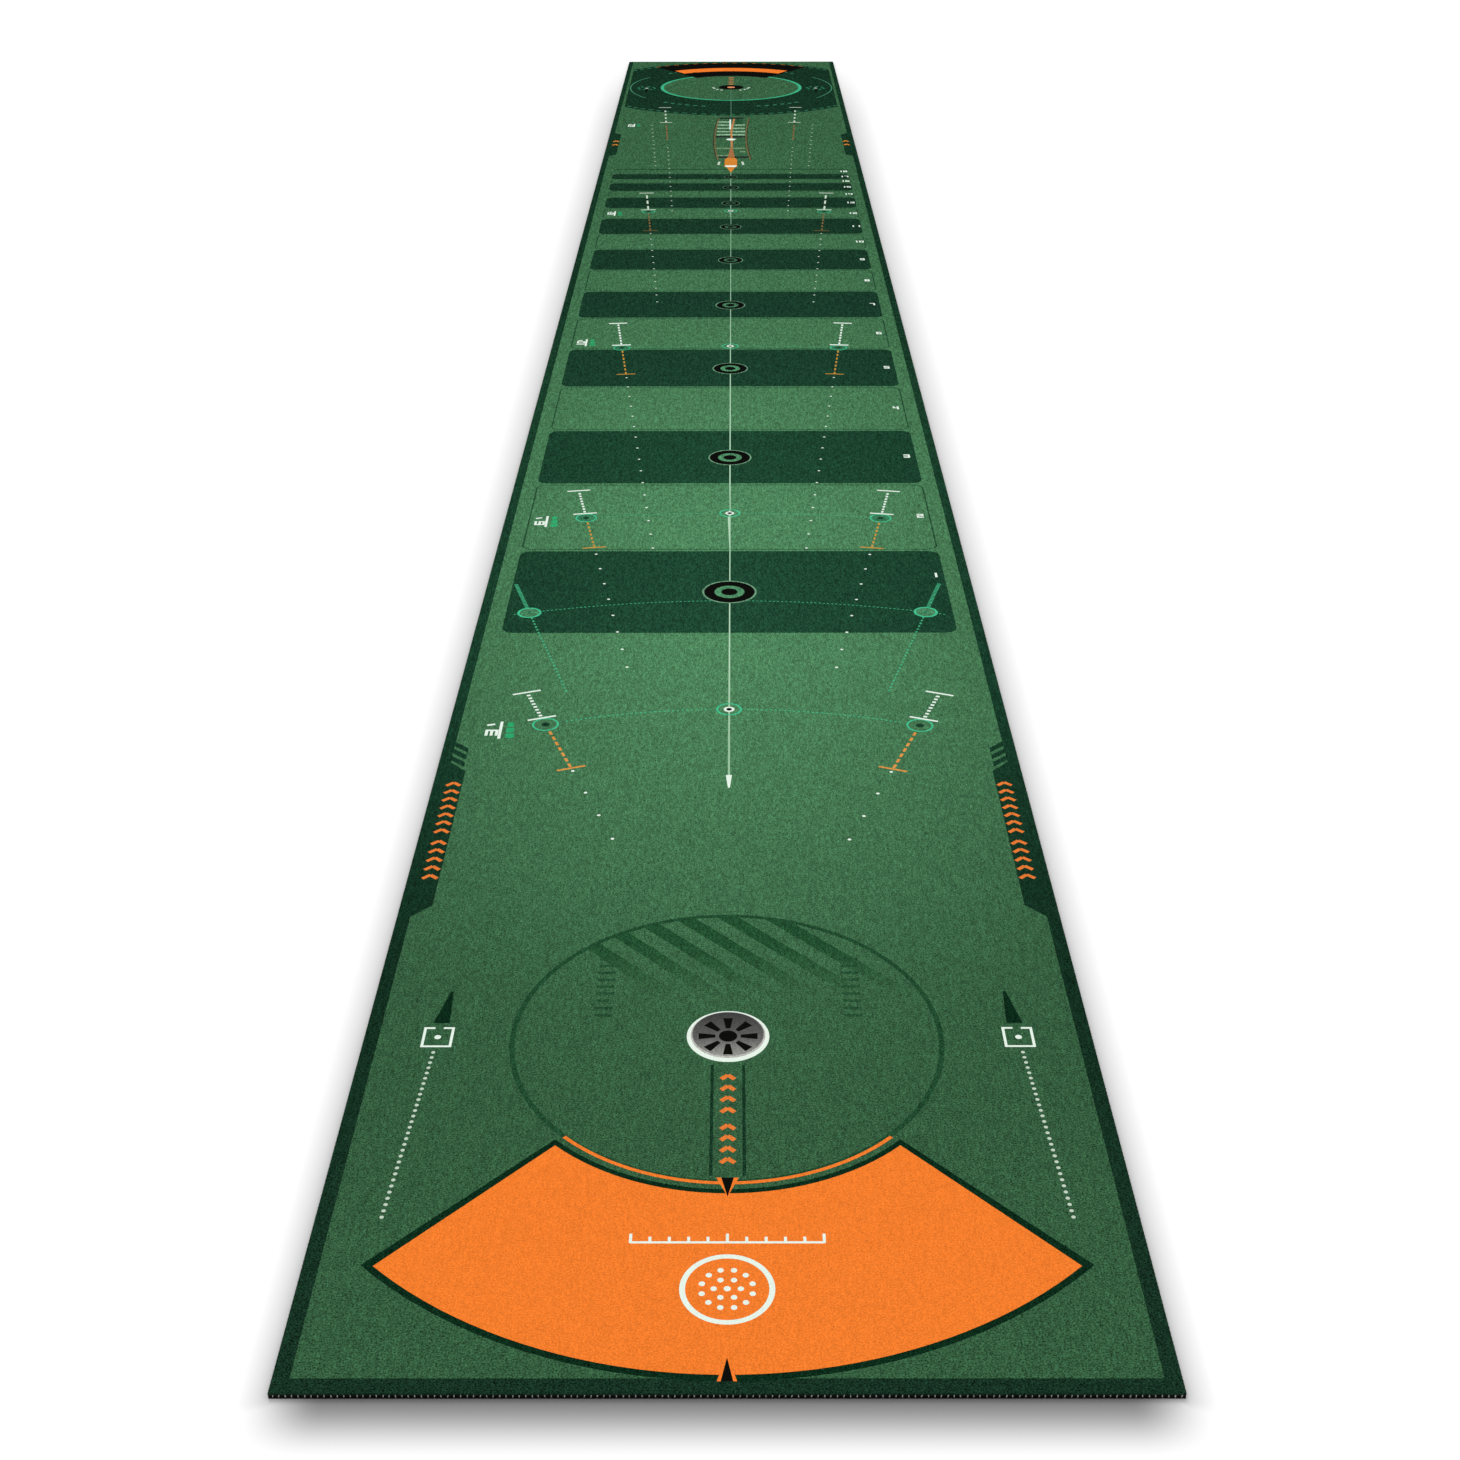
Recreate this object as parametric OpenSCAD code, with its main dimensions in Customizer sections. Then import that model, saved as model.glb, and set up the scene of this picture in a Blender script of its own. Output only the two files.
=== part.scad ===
// Practice putting mat: a long printed pile mat with a rubber underside.
// It is a laminate of four layers, and a thread oversews each of its four edges.
// X runs across the mat, Y along it from the near hole's end to the far end, Z up.
// The origin is on the underside, at the middle of the mat.

/* [Mat] */
// Length of the mat over its edge threads
mat_l = 8000; // [3000:50:10000]
// Width of the mat over its edge threads
mat_w = 950; // [400:10:1500]

/* [Layers] */
// Thickness of the foamed rubber underside
rubber_t = 4.4; // [2.5:0.1:6]
// Thickness of the latex coat that locks the tufts and bonds the rubber
latex_t = 0.8; // [0.4:0.1:1.5]
// Thickness of the woven cloth that the pile is tufted through
cloth_t = 0.6; // [0.4:0.1:1.2]
// Height of the sheared pile above the cloth
pile_t = 2.2; // [1.5:0.1:6]

/* [Edge threads] */
// How far each thread stands out from the edge
thread_proud = 1.25; // [0.5:0.05:2]
// Height that each thread covers on the edge
thread_h = 3; // [1.5:0.1:5]
// Gap between a thread's ends and the corners
thread_end_gap = 2; // [0:0.5:10]

/* [Hidden] */
$fn = 48;

// The layers' own size, inside the threads
layer_w = mat_w - 2 * thread_proud;
layer_l = mat_l - 2 * thread_proud;

// Underside of each layer above the rubber
latex_z = rubber_t;
cloth_z = latex_z + latex_t;
pile_z = cloth_z + cloth_t;

// Each thread's top is level with the foot of the pile
thread_z = pile_z - thread_h / 2;

// A circle through the thread's foot, its top and its proudest point, cut by the edge
thread_r = (pow(thread_h / 2, 2) + pow(thread_proud, 2)) / (2 * thread_proud);
cut_size = 4 * thread_r;

// One layer of the laminate, centred on the origin in X and Y
module layer(z, t) {
    translate([-layer_w / 2, -layer_l / 2, z]) cube([layer_w, layer_l, t]);
}

// The cross-section of an edge thread: it stands out along +X from an edge at X = 0
module thread_section() {
    difference() {
        translate([thread_proud - thread_r, 0]) circle(r = thread_r);
        translate([-cut_size, -cut_size / 2]) square([cut_size, cut_size]);
    }
}

// A thread along the edge that faces the angle turn, at distance out from the middle
module edge_thread(turn, out, length) {
    rotate([0, 0, turn])
        translate([out, 0, thread_z])
            rotate([90, 0, 0])
                linear_extrude(height = length - 2 * thread_end_gap, center = true)
                    thread_section();
}

// Foamed rubber sheet that grips the floor
module rubber_backing() {
    color("#141414") layer(0, rubber_t);
}

// Latex coat between the rubber and the cloth
module latex_coat() {
    color("#2a2a28") layer(latex_z, latex_t);
}

// Woven cloth that holds the pile
module backing_cloth() {
    color("#1c241f") layer(cloth_z, cloth_t);
}

// Cut pile that the putting layout is dyed into
module printed_pile() {
    color("#48794f") layer(pile_z, pile_t);
}

// Oversewing thread on the end next to the near hole
module near_edge_thread() {
    color("#b9bab6") edge_thread(-90, layer_l / 2, layer_w);
}

// Oversewing thread on the end next to the far hole
module far_edge_thread() {
    color("#b9bab6") edge_thread(90, layer_l / 2, layer_w);
}

// Oversewing thread on the left side
module left_edge_thread() {
    color("#b9bab6") edge_thread(180, layer_w / 2, layer_l);
}

// Oversewing thread on the right side
module right_edge_thread() {
    color("#b9bab6") edge_thread(0, layer_w / 2, layer_l);
}

rubber_backing();
latex_coat();
backing_cloth();
printed_pile();
near_edge_thread();
far_edge_thread();
left_edge_thread();
right_edge_thread();
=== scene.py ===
"""The looks of a practice putting mat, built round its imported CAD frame.

The layout on the pile is dye, so it is drawn as flat shapes, cut into one plane, and built as
one inlaid piece of pile for each dye. The layout is in millimetres: X across from the middle
of the mat, Y along from the end with the slotted near hole. The pieces are in metres, in the
CAD's frame.
"""

import math
import random

import bpy
import numpy as np
from mathutils import Matrix, Vector
from mathutils.geometry import delaunay_2d_cdt


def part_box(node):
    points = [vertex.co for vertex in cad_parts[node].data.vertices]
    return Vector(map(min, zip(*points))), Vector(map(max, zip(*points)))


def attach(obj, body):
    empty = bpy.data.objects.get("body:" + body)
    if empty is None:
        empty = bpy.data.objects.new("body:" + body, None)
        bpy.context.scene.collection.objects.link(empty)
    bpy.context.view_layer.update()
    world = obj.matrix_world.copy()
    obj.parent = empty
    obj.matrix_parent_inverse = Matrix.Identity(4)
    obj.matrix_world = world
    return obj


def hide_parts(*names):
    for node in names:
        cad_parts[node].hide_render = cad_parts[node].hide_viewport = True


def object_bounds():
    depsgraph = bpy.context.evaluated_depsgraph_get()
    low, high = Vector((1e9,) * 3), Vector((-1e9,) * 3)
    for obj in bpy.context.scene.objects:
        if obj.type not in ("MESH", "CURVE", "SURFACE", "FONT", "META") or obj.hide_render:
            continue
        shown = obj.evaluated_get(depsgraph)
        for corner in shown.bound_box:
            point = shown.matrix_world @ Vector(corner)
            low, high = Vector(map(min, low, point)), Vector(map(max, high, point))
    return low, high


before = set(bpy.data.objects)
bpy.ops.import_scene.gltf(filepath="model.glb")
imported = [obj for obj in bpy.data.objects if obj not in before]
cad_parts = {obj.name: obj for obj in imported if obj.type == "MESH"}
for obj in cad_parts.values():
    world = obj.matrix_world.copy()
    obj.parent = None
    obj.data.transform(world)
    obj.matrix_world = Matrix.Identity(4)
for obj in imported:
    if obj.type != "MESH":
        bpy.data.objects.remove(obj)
CAD_LOW, CAD_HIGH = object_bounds()

MM = 0.001
PILE_LOW, PILE_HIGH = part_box("printed_pile")


# ------------ camera and lights

def make_camera():
    """A standing person's view along the mat, from just before its near end."""
    pitch = math.radians(28.345)
    yaw = math.radians(-0.103)
    roll = math.radians(-0.086)
    forward = Vector((math.sin(yaw) * math.cos(pitch), math.cos(yaw) * math.cos(pitch), -math.sin(pitch)))
    level = Vector((math.cos(yaw), -math.sin(yaw), 0))
    right = Matrix.Rotation(roll, 3, -forward) @ level
    upward = right.cross(forward)
    data = bpy.data.cameras.new("camera")
    data.sensor_width = 36
    data.lens = 47.84
    camera = bpy.data.objects.new("camera", data)
    camera.matrix_world = Matrix((right, upward, -forward)).transposed().to_4x4()
    camera.location = (0.0068, -5.4338, 1.5587)
    data.clip_end = 500
    bpy.context.scene.collection.objects.link(camera)
    bpy.context.scene.camera = camera


def make_lights():
    """A white studio: even light all round, and one soft lamp from beyond the far end."""
    world = bpy.data.worlds.new("studio")
    world.use_nodes = True
    background = world.node_tree.nodes["Background"]
    background.inputs["Color"].default_value = (1, 1, 1, 1)
    background.inputs["Strength"].default_value = 1.0
    bpy.context.scene.world = world
    lamp = bpy.data.lights.new("soft_lamp", "SUN")
    lamp.energy = 0.7
    lamp.angle = math.radians(25)
    lamp_object = bpy.data.objects.new("soft_lamp", lamp)
    lamp_object.rotation_euler = (math.radians(-38), math.radians(-12), 0)
    bpy.context.scene.collection.objects.link(lamp_object)


# ------------ the layout's shapes

NEAR_HOLE = (0, 600)
FAR_HOLE = (0, 7347)
ARC_ERROR = 0.1   # how far the straight pieces of an arc may leave its true line
SHAPES = []       # (dye, outline) in painting order: a later shape covers an earlier one


def paint(dye, outline):
    """Adds a shape: a dye and its outline, a list of points."""
    SHAPES.append((dye, outline))


def point_on(centre, radius, degrees):
    """The point at an angle clockwise from straight along the mat."""
    turn = math.radians(degrees)
    return centre[0] + radius * math.sin(turn), centre[1] + radius * math.cos(turn)


def arc_points(centre, radius, start, end):
    """Points along an arc, close enough together that it looks round."""
    step = 2 * math.degrees(math.acos(1 - min(0.5, ARC_ERROR / radius)))
    count = max(2, math.ceil(abs(end - start) / step))
    return [point_on(centre, radius, start + (end - start) * i / count) for i in range(count + 1)]


def band(dye, centre, inner, outer, start, end):
    """The part of a ring between two angles."""
    paint(dye, arc_points(centre, outer, start, end) + arc_points(centre, inner, end, start))


def ring(dye, centre, inner, outer):
    """A whole ring, as two halves: an outline can't have a hole in it."""
    for start in (0, 180):
        band(dye, centre, inner, outer, start, start + 180)


def disc(dye, centre, radius):
    """A full disc."""
    paint(dye, arc_points(centre, radius, 0, 360)[:-1])


def bar(dye, start, end, width, end_width=None):
    """A straight line with square ends, which may narrow towards its end."""
    run = Vector(end) - Vector(start)
    side = Vector((-run.y, run.x)).normalized()
    a, b = side * width / 2, side * (width if end_width is None else end_width) / 2
    outline = [Vector(start) + a, Vector(start) - a, Vector(end) - b]
    if b.length > 0:
        outline.append(Vector(end) + b)
    paint(dye, [tuple(p) for p in outline])


def rounded(dye, low, high, radius):
    """A rectangle with round corners."""
    left, right, near, far = low[0] + radius, high[0] - radius, low[1] + radius, high[1] - radius
    corners = enumerate([(right, far), (right, near), (left, near), (left, far)])
    paint(dye, [p for k, centre in corners for p in arc_points(centre, radius, 90 * k, 90 * k + 90)])


def box(dye, low, high):
    """A rectangle from its low corner to its high one."""
    paint(dye, [low, (high[0], low[1]), high, (low[0], high[1])])


def between(start, end, share):
    """The point a share of the way from start to end."""
    return tuple(a + (b - a) * share for a, b in zip(start, end))


def dots(dye, start, end, pitch, radius):
    """A row of dots from start to end."""
    count = max(1, round(math.dist(start, end) / pitch))
    for i in range(count + 1):
        disc(dye, between(start, end, i / count), radius)


def dashes(dye, start, end, pitch, dash, width):
    """A row of dashes from start to end."""
    length = math.dist(start, end)
    for i in range(int(length / pitch + 0.5)):
        a, b = i * pitch / length, min(1, (i * pitch + dash) / length)
        bar(dye, between(start, end, a), between(start, end, b), width)


def arc_dashes(dye, centre, radius, start, end, pitch, dash, width):
    """Dashes along an arc. Pitch and dash are lengths along it."""
    turn = math.copysign(math.degrees(pitch / radius), end - start)
    for i in range(round((end - start) / turn)):
        a = start + i * turn
        band(dye, centre, radius - width / 2, radius + width / 2, a, a + turn * dash / pitch)


SEGMENTS = {
    "a": ((0, 2), (1, 2)), "b": ((1, 2), (1, 1)), "c": ((1, 1), (1, 0)), "d": ((0, 0), (1, 0)),
    "e": ((0, 0), (0, 1)), "f": ((0, 1), (0, 2)), "g": ((0, 1), (1, 1)),
}
DIGITS = {
    "0": "abcdef", "1": "bc", "2": "abged", "3": "abgcd", "4": "fgbc",
    "5": "afgcd", "6": "afgecd", "7": "abc", "8": "abcdefg", "9": "abcdfg",
}


def numeral(dye, text, centre, height, stroke, turn=0, breadth=0.7):
    """A number in plain squared digits, turned counter-clockwise. Breadth is a digit's width to height."""
    wide, tall = height * breadth - stroke, (height - stroke) / 2
    advance = wide + stroke * 2.1
    spin = Matrix.Rotation(math.radians(turn), 2)
    left = -(advance * (len(text) - 1) + wide) / 2
    for i, digit in enumerate(text):
        for name in DIGITS[digit]:
            ends = [Vector((left + i * advance + x * wide, (y - 1) * tall)) for x, y in SEGMENTS[name]]
            reach = (ends[1] - ends[0]).normalized() * stroke / 2
            a, b = spin @ (ends[0] - reach), spin @ (ends[1] + reach)
            bar(dye, tuple(Vector(centre) + a), tuple(Vector(centre) + b), stroke)


def chevron(dye, tip, height, depth, stroke, direction):
    """An open arrowhead that points along the mat (direction 1) or back (-1)."""
    for side in (-1, 1):
        bar(dye, tip, (tip[0] + side * height / 2, tip[1] - direction * depth), stroke)


# ------------ the layout itself

HALF_W, LENGTH = 475, 8000
EDGE_ROUND = 1.6   # the pile's edge is rounded over this width
EDGE_DROP = 0.8    # and is this much lower at the cut
SIDE_BORDER, NEAR_BORDER, FAR_BORDER = 19, 20, 8
FIELD_HALF = HALF_W - SIDE_BORDER


def draw_ground():
    """The dark border, the field inside it, and the tabs where the border is deeper.

    The border is painted in nested boxes, so that the pile's rounded edge has points to bend at.
    """
    for inset in (0, EDGE_ROUND / 3, EDGE_ROUND):
        box("border", (-HALF_W + inset, inset), (HALF_W - inset, LENGTH - inset))
    box("field", (-FIELD_HALF, NEAR_BORDER), (FIELD_HALF, LENGTH - FAR_BORDER))
    near_tab = [(FIELD_HALF, 878), (428, 908), (428, 1300), (FIELD_HALF, 1330)]
    far_tab = [(FIELD_HALF, 5950), (430, 5975), (430, 6341), (FIELD_HALF, 6366)]
    for side in (-1, 1):
        paint("border", [(side * x, y) for x, y in near_tab])
        for foot in (1322, 1346, 1370):
            slash = [(432, foot - 8), (FIELD_HALF, foot + 14), (FIELD_HALF, foot + 29), (432, foot + 7)]
            paint("border", [(side * x, y) for x, y in slash])
        paint("border", [(side * x, y) for x, y in far_tab])


def draw_tab_arrows():
    """Rows of orange chevrons on the tabs, which show the way along the mat."""
    pitch = 24
    for side in (-1, 1):
        for first, count in ((989, 5), (1119, 7)):
            for i in range(count):
                chevron("soft_orange", (side * 442, first + pitch * i), 22, 10, 6.4, 1)
        for tip in (6162, 6226):
            chevron("dull_orange", (side * 443, tip), 20, 22, 9, 1)


STRIPE_COUNT, STRIPE_FIRST, STRIPE_PITCH = 6, 4, 46.4   # measured across the stripes, from the hole
STRIPE_FOOT = 80      # the stripes end this far beyond the hole
STRIPE_SLOPE = 46.5   # degrees


def draw_near_circle():
    """The circle round the near hole, with slanted stripes in its far half and faint bars beside."""
    for k in range(STRIPE_COUNT):
        shade_stripe(NEAR_HOLE, STRIPE_FIRST + STRIPE_PITCH * k, 22, 277)
    ring("shade", (-1.5, NEAR_HOLE[1]), 275.8, 283)
    for side in (-1, 1):
        for i in range(9):
            x, y = side * 166, 645 + 16 * i
            bar("ghost", (x - 12, y), (x + 12, y), 6)


def shade_stripe(centre, offset, width, radius):
    """A slanted stripe across the circle's far half, cut off by the circle and by a level line."""
    slope = math.radians(STRIPE_SLOPE)
    edges = (offset - width / 2, offset + width / 2)
    start, end = (STRIPE_SLOPE - math.degrees(math.acos(edge / radius)) for edge in edges)
    outline = arc_points(centre, radius, start, end)
    for edge in edges[::-1]:
        foot = (math.cos(slope) * edge - STRIPE_FOOT) / math.sin(slope)
        reach = min(foot, math.sqrt(radius ** 2 - edge ** 2))
        x = math.sin(slope) * edge + math.cos(slope) * reach
        y = math.cos(slope) * edge - math.sin(slope) * reach
        outline.append((centre[0] + x, centre[1] + y))
    paint("stripe", outline)


def draw_near_hole():
    """The near hole: a white rim round a grey cup floor with slots like a real cup's."""
    disc("white", NEAR_HOLE, 54)
    disc("cup_lip", (0, NEAR_HOLE[1] + 3), 48.8)
    disc("cup", (0, NEAR_HOLE[1] + 5), 46.8)
    for k in range(8):
        bar("black", point_on(NEAR_HOLE, 16.5, 45 * k), point_on(NEAR_HOLE, 38.5, 45 * k), 6, 13)
    disc("black", NEAR_HOLE, 12)


def draw_near_fan():
    """The orange fan before the near hole, with its arc and its two arrowheads."""
    centre = NEAR_HOLE
    for dye, inner, outer, inner_half, outer_half in (
            ("outline", 292, 584, 45.8, 44.6), ("orange", 299.3, 575.2, 44.2, 43.5)):
        outline = arc_points(centre, outer, 180 - outer_half, 180 + outer_half)
        paint(dye, outline + arc_points(centre, inner, 180 + inner_half, 180 - inner_half))
    band("orange", centre, 278.8, 283.8, 180 - 45, 180 + 45)
    for side in (-1, 1):
        bar("line", (side * 20, 331), (side * 20, 540), 4)
        paint("orange", [(side * x, y) for x, y in [(0, 16), (10.7, 16), (0, 54)]])
        paint("orange", [(side * x, y) for x, y in [(0, 328), (13.5, 328), (0, 296)]])
    paint("black", [(-6.6, 16), (6.6, 16), (0, 49)])
    paint("black", [(-7.5, 328), (7.5, 328), (0, 295)])


def draw_centre_arrows():
    """Orange chevrons on the way from the fan to the hole, in two groups."""
    for first, pitch in ((362, 20.4), (455, 21.5)):
        for i in range(4):
            chevron("soft_orange", (0, first + pitch * i), 17, 8, 6.4, 1)


def draw_ball_emblem():
    """A golf ball drawn as a ring with dimples, and a ruled scale above it."""
    centre = (0, 148)
    ring("white", centre, 46.5, 53)
    disc("white", centre, 4)
    for count, radius in ((6, 15), (12, 29)):
        for k in range(count):
            disc("white", point_on(centre, radius, 360 / count * (k + 0.5)), 3.6)
    bar("white", (-110, 220), (110, 220), 3.4)
    for k in range(-5, 6):
        bar("white", (22 * k, 219), (22 * k, 234 if k % 5 == 0 else 229), 3.4)


def draw_aim_boxes():
    """The white aiming boxes beside the near hole, each with a dark pointer and a dotted line."""
    for side in (-1, 1):
        x, y = side * 379, 598
        half_wide, half_long, line = 18.3, 19.3, 3.6
        bar("white", (x - half_wide, y - half_long), (x + half_wide, y - half_long), line)
        for sx in (-1, 1):
            edge = x + sx * half_wide
            bar("white", (edge, y - half_long - line / 2), (edge, y + half_long + line / 2), line)
            bar("white", (edge, y + half_long), (x + sx * 5.5, y + half_long), line)
        disc("white", (x, y), 4.4)
        pointer = [(388.5, 628), (367, 628), (370.5, 698), (374.5, 698)]
        paint("outline", [(side * across, along) for across, along in pointer])
        dots("pale", (side * 380.5, 566), (side * 398.5, 261), 10.5, 2.6)


def draw_centre_line():
    """The pale line down the middle, with an arrowhead at its near end."""
    bar("centre_line", (0, 1285), (0, 7290), 3.4)
    paint("white", [(-5, 1287), (5, 1287), (1.5, 1246), (-1.5, 1246)])


BAND_HALF = 425
BAND_CORNER = 23
BAND_LINE = 3.2   # width of a light band's dark outline
GAP_AFTER_DARK, GAP_BEFORE_DARK = 8, 9
DARK_BANDS = [   # where each dark band begins and ends; they get shorter along the mat
    (1820, 2205), (2585, 2925), (3255, 3560), (3855, 4115), (4355, 4590), (4785, 4985),
    (5135, 5285), (5385, 5500), (5565, 5645),
]
BAND_COUNT = 2 * len(DARK_BANDS)
LAST_BAND_END = 5722


def band_ends(k):
    """Where the k-th band begins and ends. Dark and light bands take turns, the first being dark."""
    start, end = DARK_BANDS[k // 2]
    if k % 2 == 0:
        return start, end
    if k == BAND_COUNT - 1:
        return end + GAP_AFTER_DARK, LAST_BAND_END
    return end + GAP_AFTER_DARK, DARK_BANDS[k // 2 + 1][0] - GAP_BEFORE_DARK


def draw_bands():
    """The scoring bands: dark ones, and light ones with a thin dark outline."""
    for k in range(BAND_COUNT):
        start, end = band_ends(k)
        corner = min(BAND_CORNER, (end - start) * 0.3)
        if k % 2 == 0:
            rounded("band", (-BAND_HALF, start), (BAND_HALF, end), corner)
        else:
            rounded("band_line", (-BAND_HALF, start), (BAND_HALF, end), corner)
            half, low, high = BAND_HALF - BAND_LINE, start + BAND_LINE, end - BAND_LINE
            rounded("field", (-half, low), (half, high), corner - BAND_LINE)
    half = BAND_HALF - 10
    box("band_line", (-half, LAST_BAND_END - 6), (half, LAST_BAND_END + 8))


def draw_band_marks():
    """The target in each dark band, and each band's number at the right, the first one higher up."""
    for k in range(BAND_COUNT):
        start, end = band_ends(k)
        middle = (start + end) / 2
        if k % 2 == 0:
            size = min(53 - 1.8 * k, (end - start) * 0.42)
            centre = (0, middle - 8)
            disc("rim", centre, size)
            disc("black", centre, size * 0.93)
            disc("target", centre, size * 0.55)
            disc("black", centre, size * 0.3)
        numeral("white", str(k + 1), (404, middle + (72 if k == 0 else 0)), 21, 4.6)


DOT_PITCH = 74   # between the white dots that lead to a distance's marks

# One row for each distance: feet, radius from the near hole, angles of the left and right marks,
# radii of the orange bar and the far white bar, first and last radius of the row of white dots,
# and how far the label stands beyond the marks
DISTANCES = [
    (3, 915, 19.9, 20.7, 755, 1041, 745, 522, -20),
    (6, 1810, 9.66, 10.15, 1648, 1969, 1613, 1093, -20),
    (10, 2990, 5.53, 5.53, 2766, 3215, 2737, 1629, 46),
    (15, 4494, 3.51, 3.98, 4236, 4761, 4200, 3417, -28),
    (20, 5957, 2.5, 2.44, 5618, 6295, 5500, 4500, -30),
]


def draw_distance(feet, radius, left, right, orange_bar, far_bar, first_dot, last_dot, label):
    """One distance: its side marks, the dots before them, the arc, the middle ring and the label.

    The last distance has no middle ring.
    """
    centre = (0, NEAR_HOLE[1] + radius)
    for turn in (-left, right):
        draw_side_mark(feet, radius, turn, orange_bar, far_bar)
        start, end = point_on(NEAR_HOLE, first_dot, turn), point_on(NEAR_HOLE, last_dot, turn)
        dots("white", start, end, DOT_PITCH, 2.9)
        gap = math.copysign(math.degrees(30 / radius), turn)
        arc_dashes("mint_line", NEAR_HOLE, radius, gap, turn - gap, 8, 4, 4 if feet == 3 else 3)
    if feet < 20:
        ring("mint", centre, 18.5, 22.5)
        disc("white", centre, 9.5)
        disc("black", centre, 5)
    draw_label(feet, NEAR_HOLE[1] + radius * math.cos(math.radians(left)) + label)


# The orange part of each distance's side marks: dye, then pitch, length and width of its dashes
ORANGE_MARKS = {
    3: ("apricot", 19.5, 12, 4.8), 6: ("amber", 20, 11, 4), 10: ("amber", 30, 16, 4),
    15: ("rail", 40, 24, 5), 20: ("rail", 60, 44, 6),
}
# The white part: pitch, length and width of its dashes, and the width of the bars at its ends
WHITE_MARKS = {
    3: (11.4, 5.4, 6.5, 4.8), 6: (15, 8.5, 5, 5.5), 10: (24, 15, 5, 8),
    15: (78, 46, 6, 8), 20: (70, 30, 7, 8),
}


def draw_side_mark(feet, radius, turn, orange_bar, far_bar):
    """A mark on a line from the near hole: a ring, white dashes beyond it and orange ones before it.

    The white dashes have a bar at both ends and the orange ones at the near end. The last distance
    has neither the ring nor the orange bar.
    """
    def at(reach, off=0):
        """A point on the line, moved off it to one side."""
        x, y = point_on(NEAR_HOLE, reach, turn)
        return x + off * math.cos(math.radians(turn)), y - off * math.sin(math.radians(turn))

    if feet < 20:
        ring("mint", at(radius), 19.5, 23)
        disc("field" if feet == 3 else "ring_fill", at(radius), 19.5)
    disc("border", at(radius), 7)
    light_dye = "white" if feet < 15 else "pale"
    *row, bar_width = WHITE_MARKS[feet]
    for reach in (radius + 24.5, far_bar):
        bar(light_dye, at(reach, -25), at(reach, 25), bar_width)
    dashes(light_dye, at(radius + 31), at(far_bar - 4), *row)
    orange, *row = ORANGE_MARKS[feet]
    dashes(orange, at(radius - 27), at(orange_bar), *row)
    if feet < 20:
        bar(orange, at(orange_bar, -24), at(orange_bar, 24), 4.6)


def draw_label(feet, y):
    """A distance's number, read from the mat's right, with a foot mark, a rule and a mint block."""
    numeral("white", str(feet), (-400, y - 9), 22, 5, 90, 0.95 if feet < 10 else 0.8)
    bar("white", (-410, y + 17), (-397, y + 21), 5.5)
    bar("white", (-386, y - 30), (-386, y + 30), 5)
    for k in range(3):
        low = y - 28 + 19.5 * k
        rounded("label_mint", (-376, low), (-361 - 2 * k, low + 16), 3)


def draw_mint_marks():
    """The arc of mint rings between the 3 and 6 foot marks."""
    radius = 1363
    for turn, reach in ((-16.2, -17.6), (15.9, 17.6)):
        start, end = point_on(NEAR_HOLE, 1500, turn), point_on(NEAR_HOLE, 1013, turn)
        dashes("mint_line", start, point_on(NEAR_HOLE, 1380, turn), 6.4, 3.6, 7.5)
        dashes("mint_line", point_on(NEAR_HOLE, 1340, turn), end, 13, 6, 3.6)
        centre = point_on(NEAR_HOLE, radius, turn)
        ring("mint", centre, 18.5, 23)
        disc("target", centre, 18.5)
        disc("ring_fill", centre, 6)
        arc_dashes("mint_line", NEAR_HOLE, radius, math.copysign(1.5, turn), reach, 8, 4, 2.4)


def draw_far_dots():
    """Two rows of dim dots beside the gauge."""
    for turn in (-3.05, 3.15):
        start, end = point_on(NEAR_HOLE, 5930, turn), point_on(NEAR_HOLE, 5190, turn)
        dots("dim_pale", start, end, DOT_PITCH, 3.8)


def draw_gauge():
    """The stroke gauge: two rails bowed the same way, with rungs between them."""
    middle, bow, half = 6270, 5000, 4.4
    rail_gap = (-55, 55)
    box("shade_far", (20, 6540), (rail_gap[1] - 8, 6650))
    for y in (6335, 6396, 6459, 6524):
        box("rung", (rail_gap[0], y - 12), (rail_gap[1], y + 12))
    box("rung", (rail_gap[0], 6572), (-4, 6600))
    for low, high, y in ((*rail_gap, 6085), (rail_gap[0], 0, 5956), (34, rail_gap[1], 6025)):
        box("faint_rung", (low, y - 10), (high, y + 10))
    for low, high, y in ((-47, 66, 5929), (-64, 55, 6297), (-47, 50, 6662)):
        box("dark_line", (low, y - 13), (high, y + 13))
    for dye, x in (("dark_rail", -68), ("rail", -62), ("rail", 58), ("dark_rail", 62)):
        band(dye, (x + bow, middle), bow - 1.6, bow + 1.6, 270 - half, 270 + half)
    bar("light_rail", (4, 6107), (1, 6400), 7)
    bar("light_rail", (1, 6400), (13, 6650), 7)
    bar("white", (-3, 6440), (-3, 6636), 6)


def draw_gauge_arrow():
    """The orange arrow before the gauge, which points to the near end, and the ball spot."""
    bar("stem", (2, 5930), (2, 6107), 26, 7)
    bar("dull_orange", (0, 5889), (0, 5922), 46, 24)
    box("dull_orange", (-23, 5764), (23, 5890))
    paint("dull_orange", [(-17, 5765), (17, 5765), (0, 5668)])
    box("white", (-20, 5762), (20, 5788))
    disc("white", (0, 6247), 18)
    for side in (-1, 1):
        bar("pale", (side * 46, 5796), (side * 42, 5850), 8)


def clipped_disc(dye, centre, radius, half):
    """A disc cut off at the left and right."""
    turn = math.degrees(math.asin(half / radius))
    outline = arc_points(centre, radius, -turn, turn) + arc_points(centre, radius, 180 - turn, 180 + turn)
    paint(dye, outline)


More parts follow.
